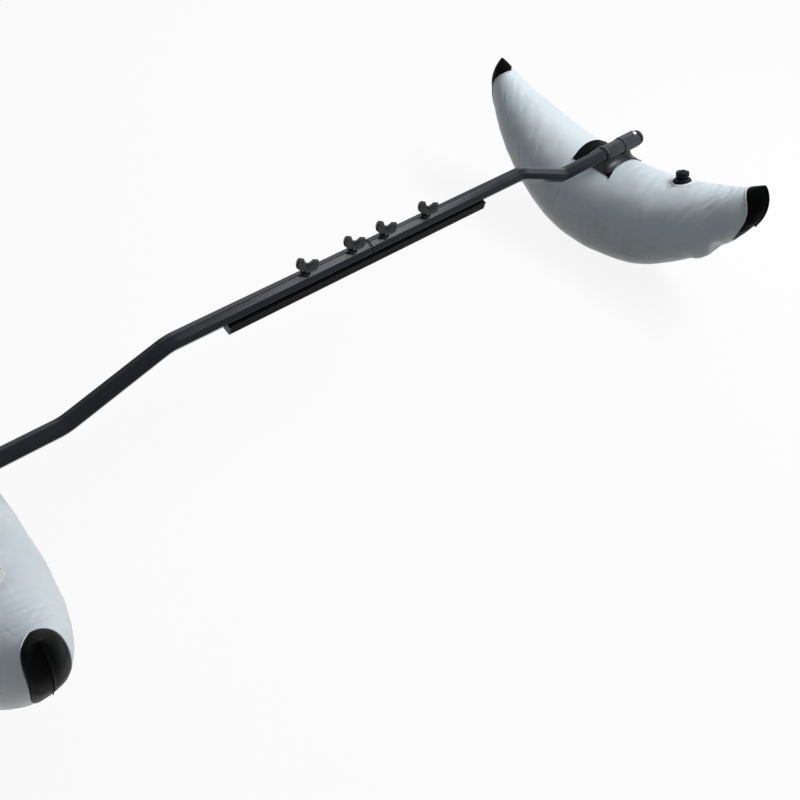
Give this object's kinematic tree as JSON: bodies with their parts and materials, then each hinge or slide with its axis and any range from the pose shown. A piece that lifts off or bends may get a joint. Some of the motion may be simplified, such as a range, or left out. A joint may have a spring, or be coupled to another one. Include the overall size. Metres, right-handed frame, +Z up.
{
  "type": "kayak outrigger",
  "caption": "Kayak outrigger kit: slotted crossbar, two bent octagonal arms with wing-knob clamps, and an inflatable float on each arm end",
  "frame": {"origin": "on the ground under the middle of the crossbar, midway between the two floats", "axes": "+X along the arms to the right float, +Y along the floats away from their valves, +Z up"},
  "size_m": [1.723, 0.7398, 0.3835],
  "materials": {
    "tube": "gloss",
    "rail": "satin",
    "moulded": "satin",
    "steel": "satin",
    "skin": "gloss",
    "patch": "satin",
    "weld": "satin"
  },
  "bodies": {
    "crossbar": {"crossbar_rail": "rail", "rail_cap_left": "moulded", "rail_cap_right": "moulded"},
    "arm_left": {"arm_left": "tube", "arm_plug_left": "moulded", "arm_end_cap_left": "moulded", "snap_spring_left": "steel", "t_bolt_left_inner": "steel", "t_bolt_left_outer": "steel", "float_left": "skin", "tip_patch_front_left": "patch", "tip_patch_rear_left": "patch", "foot_patch_left": "patch", "socket_left": "moulded", "valve_weld_left": "weld", "valve_base_left": "moulded"},
    "washer_left_inner": {"clamp_washer_left_inner": "steel"},
    "knob_left_inner": {"clamp_knob_left_inner": "moulded"},
    "washer_left_outer": {"clamp_washer_left_outer": "steel"},
    "knob_left_outer": {"clamp_knob_left_outer": "moulded"},
    "button_left": {"snap_button_left": "steel"},
    "tether_left": {"valve_tether_left": "moulded"},
    "cap_left": {"valve_cap_left": "moulded"},
    "core_left": {"valve_core_left": "moulded"},
    "arm_right": {"arm_right": "tube", "arm_plug_right": "moulded", "arm_end_cap_right": "moulded", "snap_spring_right": "steel", "t_bolt_right_inner": "steel", "t_bolt_right_outer": "steel", "float_right": "skin", "tip_patch_front_right": "patch", "tip_patch_rear_right": "patch", "foot_patch_right": "patch", "socket_right": "moulded", "valve_weld_right": "weld", "valve_base_right": "moulded"},
    "washer_right_inner": {"clamp_washer_right_inner": "steel"},
    "knob_right_inner": {"clamp_knob_right_inner": "moulded"},
    "washer_right_outer": {"clamp_washer_right_outer": "steel"},
    "knob_right_outer": {"clamp_knob_right_outer": "moulded"},
    "button_right": {"snap_button_right": "steel"},
    "tether_right": {"valve_tether_right": "moulded"},
    "cap_right": {"valve_cap_right": "moulded"},
    "core_right": {"valve_core_right": "moulded"}
  },
  "joints": [
    {"name": "arm_slide_left", "type": "slide", "parent": "crossbar", "child": "arm_left", "axis": [-1, 0, 0], "range_m": [0, 0.12]},
    {"name": "knob_lift_left_inner", "type": "slide", "parent": "arm_left", "child": "washer_left_inner", "axis": [0, -0.2351, 0.972], "range_m": [0, 0.003]},
    {"name": "knob_turn_left_inner", "type": "hinge", "parent": "washer_left_inner", "child": "knob_left_inner", "pos_m": [-0.036, -0.03031, 0.35322], "axis": [0, -0.2351, 0.972], "range_deg": [0, 1080]},
    {"name": "knob_lift_left_outer", "type": "slide", "parent": "arm_left", "child": "washer_left_outer", "axis": [0, -0.2351, 0.972], "range_m": [0, 0.003]},
    {"name": "knob_turn_left_outer", "type": "hinge", "parent": "washer_left_outer", "child": "knob_left_outer", "pos_m": [-0.136, -0.03031, 0.35322], "axis": [0, -0.2351, 0.972], "range_deg": [0, 1080]},
    {"name": "button_press_left", "type": "slide", "parent": "arm_left", "child": "button_left", "axis": [0, 0.2351, -0.972], "range_m": [0, 0.004], "stiffness_N_per_m": 1500, "springref_m": -0.002, "deforming": ["snap_spring_left"]},
    {"name": "valve_cap_lift_left", "type": "slide", "parent": "arm_left", "child": "tether_left", "axis": [0, 0.264, 0.9645], "range_m": [0, 0.00375]},
    {"name": "valve_cap_turn_left", "type": "hinge", "parent": "tether_left", "child": "cap_left", "pos_m": [-0.757, -0.178, 0.25636], "axis": [0, 0.264, 0.9645], "range_deg": [0, 450]},
    {"name": "valve_core_press_left", "type": "slide", "parent": "arm_left", "child": "core_left", "axis": [0, -0.264, -0.9645], "range_m": [0, 0.003], "stiffness_N_per_m": 400, "springref_m": -0.001},
    {"name": "arm_slide_right", "type": "slide", "parent": "crossbar", "child": "arm_right", "axis": [1, 0, 0], "range_m": [0, 0.12]},
    {"name": "knob_lift_right_inner", "type": "slide", "parent": "arm_right", "child": "washer_right_inner", "axis": [0, -0.2351, 0.972], "range_m": [0, 0.003]},
    {"name": "knob_turn_right_inner", "type": "hinge", "parent": "washer_right_inner", "child": "knob_right_inner", "pos_m": [0.036, -0.03031, 0.35322], "axis": [0, -0.2351, 0.972], "range_deg": [0, 1080]},
    {"name": "knob_lift_right_outer", "type": "slide", "parent": "arm_right", "child": "washer_right_outer", "axis": [0, -0.2351, 0.972], "range_m": [0, 0.003]},
    {"name": "knob_turn_right_outer", "type": "hinge", "parent": "washer_right_outer", "child": "knob_right_outer", "pos_m": [0.136, -0.03031, 0.35322], "axis": [0, -0.2351, 0.972], "range_deg": [0, 1080]},
    {"name": "button_press_right", "type": "slide", "parent": "arm_right", "child": "button_right", "axis": [0, 0.2351, -0.972], "range_m": [0, 0.004], "stiffness_N_per_m": 1500, "springref_m": -0.002, "deforming": ["snap_spring_right"]},
    {"name": "valve_cap_lift_right", "type": "slide", "parent": "arm_right", "child": "tether_right", "axis": [0, 0.264, 0.9645], "range_m": [0, 0.00375]},
    {"name": "valve_cap_turn_right", "type": "hinge", "parent": "tether_right", "child": "cap_right", "pos_m": [0.757, -0.178, 0.25636], "axis": [0, 0.264, 0.9645], "range_deg": [0, 450]},
    {"name": "valve_core_press_right", "type": "slide", "parent": "arm_right", "child": "core_right", "axis": [0, -0.264, -0.9645], "range_m": [0, 0.003], "stiffness_N_per_m": 400, "springref_m": -0.001}
  ],
  "couplings": [
    {"joint": "knob_lift_left_inner", "follows": "knob_turn_left_inner", "m_per_rad": 0.000159},
    {"joint": "knob_lift_left_outer", "follows": "knob_turn_left_outer", "m_per_rad": 0.000159},
    {"joint": "valve_cap_lift_left", "follows": "valve_cap_turn_left", "m_per_rad": 0.000477},
    {"joint": "knob_lift_right_inner", "follows": "knob_turn_right_inner", "m_per_rad": 0.000159},
    {"joint": "knob_lift_right_outer", "follows": "knob_turn_right_outer", "m_per_rad": 0.000159},
    {"joint": "valve_cap_lift_right", "follows": "valve_cap_turn_right", "m_per_rad": 0.000477}
  ]
}
